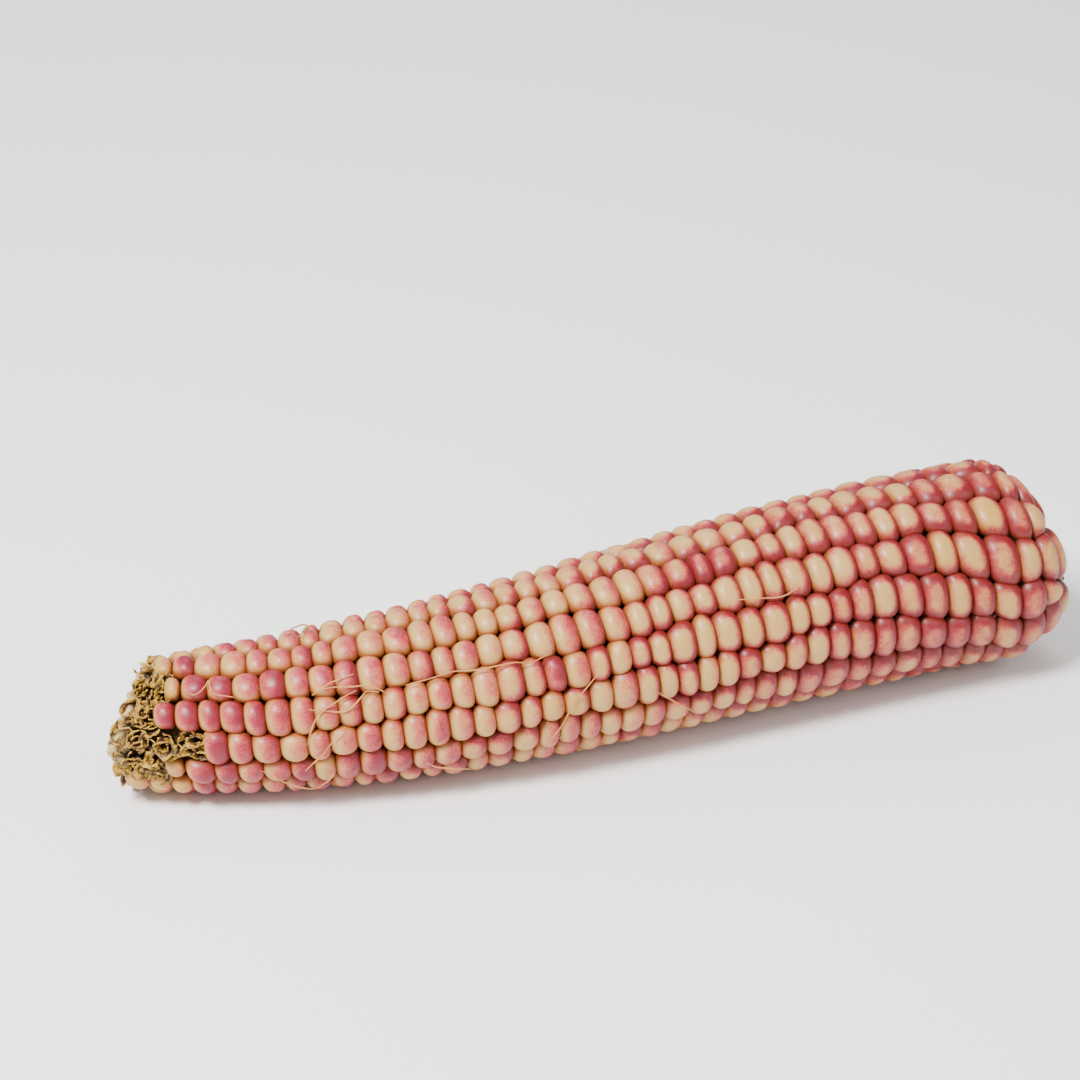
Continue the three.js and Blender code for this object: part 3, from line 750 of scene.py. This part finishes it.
# %% Cups on the side of the bare tip
SIDE_SHELLS = ((1.0, 3.3), (0.6, 2.7))  # share of the size, height
SIDE_SIZES = (2.0, 2.7)
SIDE_HEIGHTS = (0.7, 1.15)  # share of the height
SIDE_OPENINGS = (0.4, 2.2)
SIDE_SINK = 0.3
SIDE_STRAY = 0.5
CUP_LEAN = 0.3
TIPWARD = 0.25  # every cup on the side also leans towards the tip
FLAKES = 110
FLAKE_REACH = (0.5, 20)
FLAKE_ROWS = (2, 6)
FLAKE_GAP = 0.8
FLAKE_LEAST = 0.3
FLAKE_STRAY = 0.2
FLAKE_RISE = 0.4
FLAKE_LEAN = 0.9
FLAKE_SIZES = (1.4, 2.6)
FLAKE_HEIGHTS = (1.6, 2.8)
FLAKE_OPENINGS = (4.2, 5.6)
empty_row, empty_s = cell_row[empty], cell_middle[empty]
empty_angle = row_span(empty_row, empty_s)[0]
root_depth = np.full(len(empty_s), TIP_RADIUS - COB_TIP + SIDE_SINK)
point, outward, along, across = local_axes(empty_s, empty_angle, root_depth)
shells = []
for scale, tall in SIDE_SHELLS:
    size = scale * rng.uniform(*SIDE_SIZES, len(point))
    shells.append(curled_sheets(
        point + along * rng.uniform(-SIDE_STRAY, SIDE_STRAY, (len(point), 1)),
        leaning(outward - TIPWARD * along, along, across, CUP_LEAN), along, across, size,
        tall * rng.uniform(*SIDE_HEIGHTS, len(point)), rng.uniform(*SIDE_OPENINGS, len(point))))
flake_s = rng.uniform(*FLAKE_REACH, FLAKES)
flake_row = rng.integers(*FLAKE_ROWS, FLAKES)
flake_s = np.minimum(flake_s, np.array([creases[r][FIRST_KERNEL[r]] for r in flake_row]) - FLAKE_GAP)
flake_s = np.maximum(flake_s, FLAKE_LEAST)
flake_angle = row_span(flake_row, flake_s)[0] + rng.uniform(-FLAKE_STRAY, FLAKE_STRAY, FLAKES)
flake_depth = np.full(FLAKES, TIP_RADIUS - COB_TIP - FLAKE_RISE)
point, outward, along, across = local_axes(flake_s, flake_angle, flake_depth)
shells.append(curled_sheets(
    point, leaning(outward, along, across, FLAKE_LEAN), along, across, rng.uniform(*FLAKE_SIZES, FLAKES),
    rng.uniform(*FLAKE_HEIGHTS, FLAKES), rng.uniform(*FLAKE_OPENINGS, FLAKES)))
print("side sheets:", sum(len(part) for part in shells))

# %% [markdown]
# The end face of the tip is covered with rings of the same cups, which splay outwards. All of them then follow
# the slant of the tip, and a little noise on every point crumples them.

# %% Cups on the end face of the tip
FACE_RINGS = ((0.0, 1), (3.7, 7), (7.0, 12), (9.6, 16))  # radius, how many cups
FACE_SHELLS = ((1.0, 1.8), (0.58, 1.5))  # share of the size, height
FACE_SIZES = (1.8, 2.5)
FACE_HEIGHTS = (0.7, 1.1)
FACE_OPENINGS = (0.4, 2.4)
FACE_TURN = 0.3
FACE_SINK = 0.25
SPLAY_RADIUS = 12  # a cup at this radius would splay by 45 degrees
CRUMPLE = 0.1
LOWEST = 0.2  # no paper comes nearer to the floor
CUP_PAPER = 0.22
face_radius = np.concatenate([np.full(n, radius) for radius, n in FACE_RINGS])
face_angle = np.concatenate([np.arange(n) * 2 * math.pi / n + FACE_TURN * n for _, n in FACE_RINGS])
tip_along, tip_side, tip_up = axis_frame(-1.0)
spoke = tip_side * np.cos(face_angle)[:, None] + tip_up * np.sin(face_angle)[:, None]
hoop = -tip_side * np.sin(face_angle)[:, None] + tip_up * np.cos(face_angle)[:, None]
face_point = axis_point(-1.0) + spoke * face_radius[:, None] + tip_along * FACE_SINK
face_axis = unit(-tip_along + spoke * (face_radius / SPLAY_RADIUS)[:, None])
for scale, tall in FACE_SHELLS:
    size = scale * rng.uniform(*FACE_SIZES, len(face_point))
    shells.append(curled_sheets(
        face_point, leaning(face_axis, spoke, hoop, CUP_LEAN), spoke, hoop, size,
        tall * rng.uniform(*FACE_HEIGHTS, len(face_point)), rng.uniform(*FACE_OPENINGS, len(face_point))))
shells = slanted(np.concatenate(shells))
shells = shells + rng.normal(0, CRUMPLE, shells.shape)
shells[..., 2] = np.maximum(shells[..., 2], LOWEST)
cups = make_object("chaff_cups", shells, sheet_faces(len(shells), CUP_UP, CUP_AROUND))
rise = np.linspace(0, 1, CUP_UP)[None, :, None, None]
make_paper(cups, np.broadcast_to(rise, shells.shape), CUP_PAPER)
print("sheets in all:", len(shells))

# %% [markdown]
# The outermost bracts of the tip stay joined in a pale collar. It is one sheet bent part of the way round the
# end, from below the front to over the top, with a frayed rim that curls outwards. It follows the slant too.

# %% Collar of the tip
COLLAR_AROUND = 60
COLLAR_UP = 6
COLLAR_SPAN = (-0.9, 2.3)  # angles of its two ends
COLLAR_ROOT = 3.0  # its root is this far inside the ear
COLLAR_HEIGHT = 4.2
COLLAR_RADIUS = 10.6
COLLAR_CURL = 0.8
BRACT_PAPER = 0.2
collar_angle = np.linspace(*COLLAR_SPAN, COLLAR_AROUND)[None]
t = np.linspace(0, 1, COLLAR_UP)[:, None]
frayed = 0.5 * np.sin(5 * collar_angle + 1) + 0.35 * np.sin(13 * collar_angle)
frayed = frayed + 0.2 * np.sin(29 * collar_angle)
collar_shift = COLLAR_ROOT - t * (COLLAR_HEIGHT + frayed)
collar_radius = COLLAR_RADIUS + COLLAR_CURL * np.sin(2.2 * t) + 0.35 * np.sin(7 * collar_angle + 2) * t
collar_points = slanted(ring_points(np.full(COLLAR_UP, -1.0), collar_shift, collar_radius, collar_angle))
collar = make_object("tip_collar", collar_points, sheet_faces(1, COLLAR_UP, COLLAR_AROUND))
make_paper(collar, np.broadcast_to(t[..., None], collar_points.shape), BRACT_PAPER)
print("collar points:", COLLAR_UP * COLLAR_AROUND)

# %% [markdown]
# Round the stalk the husk was torn away by hand. It left stiff papery shreds that stand between the last
# kernels and the cut face, bent outwards over the kernels' shoulders.

# %% Husk shreds
SHREDS = 30
SHRED_STRAY = 0.06
SHRED_RADIUS = 9.0
SHRED_ROOT = 3.4  # its root is this far below the end of the kernels
SHRED_LEAN = 0.25
SHRED_SIZES = (1.3, 2.2)
SHRED_HEIGHTS = (1.2, 1.9)
SHRED_OPENINGS = (3.4, 5.2)
shred_angle = np.arange(SHREDS) * 2 * math.pi / SHREDS + rng.uniform(-SHRED_STRAY, SHRED_STRAY, SHREDS)
butt_along, butt_side, butt_up = axis_frame(BUTT_U)
spoke = butt_side * np.cos(shred_angle)[:, None] + butt_up * np.sin(shred_angle)[:, None]
hoop = -butt_side * np.sin(shred_angle)[:, None] + butt_up * np.cos(shred_angle)[:, None]
level = (END_REACH * end_length(shred_angle))[:, None]
shred_root = axis_point(BUTT_U) + spoke * SHRED_RADIUS + butt_along * (level - SHRED_ROOT)
shred_axis = leaning(butt_along + SHRED_LEAN * spoke, spoke, hoop, SHRED_LEAN)
shreds = curled_sheets(shred_root, shred_axis, spoke, hoop, rng.uniform(*SHRED_SIZES, SHREDS),
                       rng.uniform(*SHRED_HEIGHTS, SHREDS), rng.uniform(*SHRED_OPENINGS, SHREDS))
husk = make_object("husk_shreds", shreds, sheet_faces(SHREDS, CUP_UP, CUP_AROUND))
make_paper(husk, np.broadcast_to(rise, shreds.shape), BRACT_PAPER)
print("shreds:", SHREDS)

# %% [markdown]
# The cut face of the stalk is a disc of white pith in a hard rind, torn rather than sawn: its height ripples by
# a few sines, and mauve streaks run out from the middle.

# %% Cut face of the stalk
FACE_STEPS = 12
FACE_COLUMNS = 72
HUB_SHARE = 0.04  # the first ring, round the middle
PITH_RADIUS = 7.9
FOOT_RADIUS = 8.0
PITH_DROP = 1.1  # below the end of the kernels
FOOT_DROP = 3.0
RIPPLE = 0.22
DENT = 0.5
RIND = 0.35
FOOT_MARK = 1.05  # share of the radius that the side of the disc is coloured by
share = np.linspace(HUB_SHARE, 1, FACE_STEPS)[:, None]
angle = np.linspace(0, 2 * math.pi, FACE_COLUMNS, endpoint=False)[None]
ripple = RIPPLE * np.sin(7 * angle + 9 * share) * np.sin(11 * share + 2 * angle)
ripple = ripple - DENT * np.exp(-((share / 0.25) ** 2)) + RIND * smooth(0.8, 0.95, share)
face_level = END_REACH * (1 + share * (end_length(angle) - 1) + (1 - share) * -BUTT_LEAN / 2)
disc = ring_points(np.full(FACE_STEPS, BUTT_U), face_level - PITH_DROP + ripple,
                   share * PITH_RADIUS + 0 * angle, angle)
foot = ring_points(np.array([BUTT_U]), face_level[-1:] - FOOT_DROP,
                   np.full((1, FACE_COLUMNS), FOOT_RADIUS), angle)
disc = np.concatenate([disc, foot])
disc_hubs = np.stack([disc[0].mean(0), disc[-1].mean(0)])
here = np.arange(FACE_COLUMNS)
after = (here + 1) % FACE_COLUMNS
count = len(disc) * FACE_COLUMNS
faces = [quad[::-1] for quad in ring_faces(len(disc), FACE_COLUMNS)]
faces += np.stack([np.full(FACE_COLUMNS, count), after, here], -1).tolist()
faces += np.stack([np.full(FACE_COLUMNS, count + 1), count - FACE_COLUMNS + here,
                   count - FACE_COLUMNS + after], -1).tolist()
stalk = make_object("stalk_face", np.concatenate([disc.reshape(-1, 3), disc_hubs]), faces)
steps = np.append(share[:, 0], FOOT_MARK)[:, None]
streak = np.stack([np.cos(angle) + 0 * steps, np.sin(angle) + 0 * steps, steps + 0 * angle], -1).reshape(-1, 3)
set_vectors(stalk, "stalk_place", np.concatenate([streak, [[0, 0, 0], [0, 0, FOOT_MARK]]]))
print("stalk face points:", len(disc.reshape(-1, 3)))

# %% [markdown]
# Chaff is dry, thin and fibrous, like straw: gold on its rims, and darkened nearly to black in its hollows as
# painted shade. The husk and the collar are the same paper, paler. One function makes all three.

# %% Chaff, husk and collar
STRAW = "#BC9230"
STRAW_BROWN = "#4A2808"
DUSTY_GOLD = "#8E6424"
HOLLOW_SHADE_BROWN = "#0E0602"
HUSK_PALE = "#C9B890"
HUSK_BROWN = "#7C6848"
BRACT_PALE = "#C4B27A"
BRACT_BROWN = "#8A6A30"
FIBRE_SIZE = 0.5  # sizes of the patterns in millimetres
PATCH_SIZE = 1.5
PATCH_CONTRAST = (2.4, -0.6)  # factor and offset
RISE_SHARE = 0.9
HOLLOW_SHADE_FADE = (0.85, 1.25)
HIGH_FADE = (1.2, 1.65)
FIBRE_RELIEF = 0.12


def paper_material(name, pale, brown):
    """Dry paper that is pale at its rim and darkened at its root as painted shade of the hollow, with patches
    and a fibrous bump.
    """
    material = new_material(name)
    height = stored(material, "chaff_place")[0]
    patch = noise(material, PATCH_SIZE, 3.0, Roughness=0.7)
    tone = madd(material, patch, *PATCH_CONTRAST)
    tone = madd(material, height, RISE_SHARE, tone)
    # Painted shade: the root of each sheet, low in its hollow, goes nearly black.
    hollow_shaded = blend(material, between(material, tone, HOLLOW_SHADE_FADE), linear(HOLLOW_SHADE_BROWN), linear(brown))
    colour = blend(material, between(material, tone, HIGH_FADE), hollow_shaded, linear(pale))
    fibres = bump(material, noise(material, FIBRE_SIZE, 4.0), 0.5, FIBRE_RELIEF)
    finish_material(material, {"Base Color": colour, "Roughness": 0.6, "Normal": fibres})
    return material


cups.data.materials.append(paper_material("dry_chaff", STRAW, STRAW_BROWN))
husk.data.materials.append(paper_material("torn_husk", HUSK_PALE, HUSK_BROWN))
collar.data.materials.append(paper_material("pale_bract", BRACT_PALE, BRACT_BROWN))
print("paper materials: 3")

# %% [markdown]
# The cob between its cups is dull and grainy. The pith of the stalk is soft and white, with its mauve streaks
# drawn out along the radius, because their noise is read in polar coordinates that were stored with the mesh.

# %% Cob and pith
CORE_GRAIN = 1.2
CORE_FADE = (0.45, 0.72)
CORE_RELIEF = 0.3
PITH = "#DCCBA6"
MAUVE = "#94567C"
STREAK_SCALE = 3.5  # on coordinates that run from -1 to 1
STREAK_FADE = (0.5, 0.72)
PITH_RELIEF = 0.4
core = new_material("dusty_cob")
grain = noise(core, CORE_GRAIN, 4.0)
core_colour = blend(core, between(core, grain, CORE_FADE), linear(STRAW_BROWN), linear(DUSTY_GOLD))
finish_material(core, {
    "Base Color": core_colour, "Roughness": 0.85, "Normal": bump(core, grain, 0.6, CORE_RELIEF)})
cob.data.materials.append(core)

pith = new_material("stalk_pith")
streaks = add(pith, "TexNoise", {
    "Vector": add(pith, "Attribute", attribute_name="stalk_place").outputs["Vector"], "Scale": STREAK_SCALE,
    "Detail": 4.0}).outputs["Fac"]
pith_colour = blend(pith, between(pith, streaks, STREAK_FADE), linear(PITH), linear(MAUVE))
finish_material(pith, {
    "Base Color": pith_colour, "Roughness": 0.8, "Normal": bump(pith, streaks, 0.7, PITH_RELIEF)})
stalk.data.materials.append(pith)
print("dry materials ready")

# %% [markdown]
# A few threads of silk still cling to the ear. Each follows a handful of points, given as a station along the
# ear and an angle round it, and bridges the creases just above the crowns. A smooth curve through them becomes
# a tube no thicker than a hair.

# %% Silk
SILK_RADIUS = 0.17
SILK_SIDES = 5
SILK_END = 0.55  # share of the radius at both ends
SILK_STRAY = 0.010
SILK_LIFT = (0.25, 0.25)  # least, and what the waves add
STAIN_FADE = (0.45, 0.7)
SILK_TAN = "#C98B45"
SILK_BROWN = "#9A5A28"
STAIN_SIZE = 4.0
SILK = (
    ((36, 0.73), (38, 0.79), (40, 0.86), (44, 0.89)),
    ((38, 0.77), (41, 0.78), (44, 0.76), (47, 0.71), (49, 0.65)),
    ((53, 0.66), (57, 0.70), (61, 0.71), (64, 0.70), (68, 0.69), (71, 0.67), (74, 0.68), (77, 0.64), (81, 0.68)),
    ((35, 0.57), (37, 0.55), (40, 0.49), (42, 0.51), (45, 0.64), (46, 0.67), (48, 0.66)),
    ((34, 0.16), (35, 0.32), (37, 0.50), (41, 0.65), (44, 0.70)),
    ((33, -0.21), (34, -0.17), (36, -0.02), (38, 0.12), (41, 0.31)),
    ((25, -0.17), (27, -0.26), (29, -0.41), (31, -0.56), (34, -0.65), (36, -0.55), (38, -0.35)),
    ((13, 0.96), (15, 0.91), (17, 1.03), (17.6, 1.07), (18, 0.98), (19, 0.88), (22, 0.82)),
    ((55, -0.32), (57, -0.45), (61, -0.55), (64, -0.66)),
    ((100, 0.04), (103, -0.08), (106, -0.24), (109, -0.38)),
    ((78, -0.33), (81, -0.10), (84, 0.14), (89, 0.40)),
    ((33, 1.72), (34, 1.95), (36, 2.0), (37, 1.85), (36, 1.7), (35, 1.6)),
    ((120, 0.75), (124, 0.70), (129, 0.68), (133, 0.72)),
)


def smooth_path(controls, steps=8):
    """A curve through the controls: on each stretch the cubic whose slopes are half the distance between the
    neighbours of its ends."""
    c = np.array(controls, float)
    c = np.concatenate([[2 * c[0] - c[1]], c, [2 * c[-1] - c[-2]]])
    t = np.linspace(0, 1, steps, endpoint=False)[None, :, None]
    a, b, d, e = (c[i:len(c) - 3 + i, None] for i in range(4))
    curve = b + 0.5 * t * (d - a + t * (2 * a - 5 * b + 4 * d - e + t * (3 * (b - d) + e - a)))
    return np.concatenate([curve.reshape(-1, c.shape[1]), c[-2:-1]])


def silk_tube(path):
    """A closed tube round a path: rings of SILK_SIDES points square to it, thinning to both ends."""
    tangent = unit(np.gradient(path, axis=0))
    side = unit(np.cross(tangent, [0.3, 0.2, 1.0]))
    up = np.cross(tangent, side)
    angle = np.linspace(0, 2 * math.pi, SILK_SIDES, endpoint=False)[None, :, None]
    share = np.linspace(0, 1, len(path))[:, None, None]
    radius = SILK_RADIUS * (SILK_END + (1 - SILK_END) * np.sin(math.pi * share))
    rings = path[:, None] + radius * (side[:, None] * np.cos(angle) + up[:, None] * np.sin(angle))
    count = len(path) * SILK_SIDES
    caps = [list(range(SILK_SIDES))[::-1], list(range(count - SILK_SIDES, count))]
    quads = [quad[::-1] for quad in ring_faces(len(path), SILK_SIDES)]
    return rings.reshape(-1, 3), quads + caps


silk_points, silk_faces = [], []
for number, controls in enumerate(SILK):
    track = smooth_path(controls)
    stray = SILK_STRAY * np.sin(np.arange(len(track)) * 0.3 + number)
    lift = SILK_LIFT[0] + SILK_LIFT[1] * np.sin(np.arange(len(track)) * 0.17 + number) ** 2
    path = place(track[:, 0], track[:, 1] + stray, -lift)
    tube, faces = silk_tube(path)
    start = sum(len(part) for part in silk_points)
    silk_faces += [[start + corner for corner in face] for face in faces]
    silk_points.append(tube)
silk = make_object("silk_threads", np.concatenate(silk_points), silk_faces)
thread = new_material("corn_silk")
stained = between(thread, noise(thread, STAIN_SIZE, 3.0), STAIN_FADE)
finish_material(thread, {
    "Base Color": blend(thread, stained, linear(SILK_TAN), linear(SILK_BROWN)), "Roughness": 0.45,
    "Subsurface Weight": 0.1, "Subsurface Scale": 0.2 * MM})
silk.data.materials.append(thread)
print("silk threads:", len(SILK))

# %% [markdown]
# The ear lies on a plain pale floor in soft light: one lamp high on the left, a broad weaker one on the right,
# another behind that draws the upper edge, and an even white surround that fills the shadows.

# %% Floor, light and surround
FLOOR_SIZE = 6000.0
FLOOR_WHITE = "#F7F6F4"
SURROUND_STRENGTH = 0.6
LAMP_TARGET = (0, 0, 20)
LAMPS = (  # name, azimuth, elevation, distance, size, power
    ("key", -60, 55, 900, 260, 20.0),
    ("fill", 45, 35, 1100, 700, 4.0),
    ("back", 170, 50, 1000, 600, 4.0),
)

floor = make_object("floor", np.array([(-1, -1, 0), (1, -1, 0), (1, 1, 0), (-1, 1, 0)]) * FLOOR_SIZE / 2,
                    [(0, 1, 2, 3)])
floor_paint = new_material("pale_floor")
finish_material(floor_paint, {"Base Color": linear(FLOOR_WHITE), "Roughness": 0.9})
floor.data.materials.append(floor_paint)

for name, azimuth, elevation, distance, width, power in LAMPS:
    lamp_data = bpy.data.lights.new(name, "AREA")
    lamp_data.size = width * MM
    lamp_data.energy = power
    lamp = bpy.data.objects.new(name, lamp_data)
    lamp.matrix_world = look_from(azimuth, elevation, distance, LAMP_TARGET)
    bpy.context.collection.objects.link(lamp)

world = bpy.data.worlds.new("surround")
world.use_nodes = True
world.node_tree.nodes["Background"].inputs["Color"].default_value = linear("#FFFFFF")
world.node_tree.nodes["Background"].inputs["Strength"].default_value = SURROUND_STRENGTH
bpy.context.scene.world = world
print("lamps:", len(LAMPS))

# %% [markdown]
# Last, every piece is tied to the part: to the body that it rides on, and the solid that it takes the place of
# is hidden.

# %% Tie the pieces to the frame
for piece in kernel_pieces:
    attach(piece, "root")
    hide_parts("kernels")
for piece in (cob, cups, collar, husk, stalk, silk):
    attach(piece, "root")
    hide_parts("cob")
print("pieces tied")
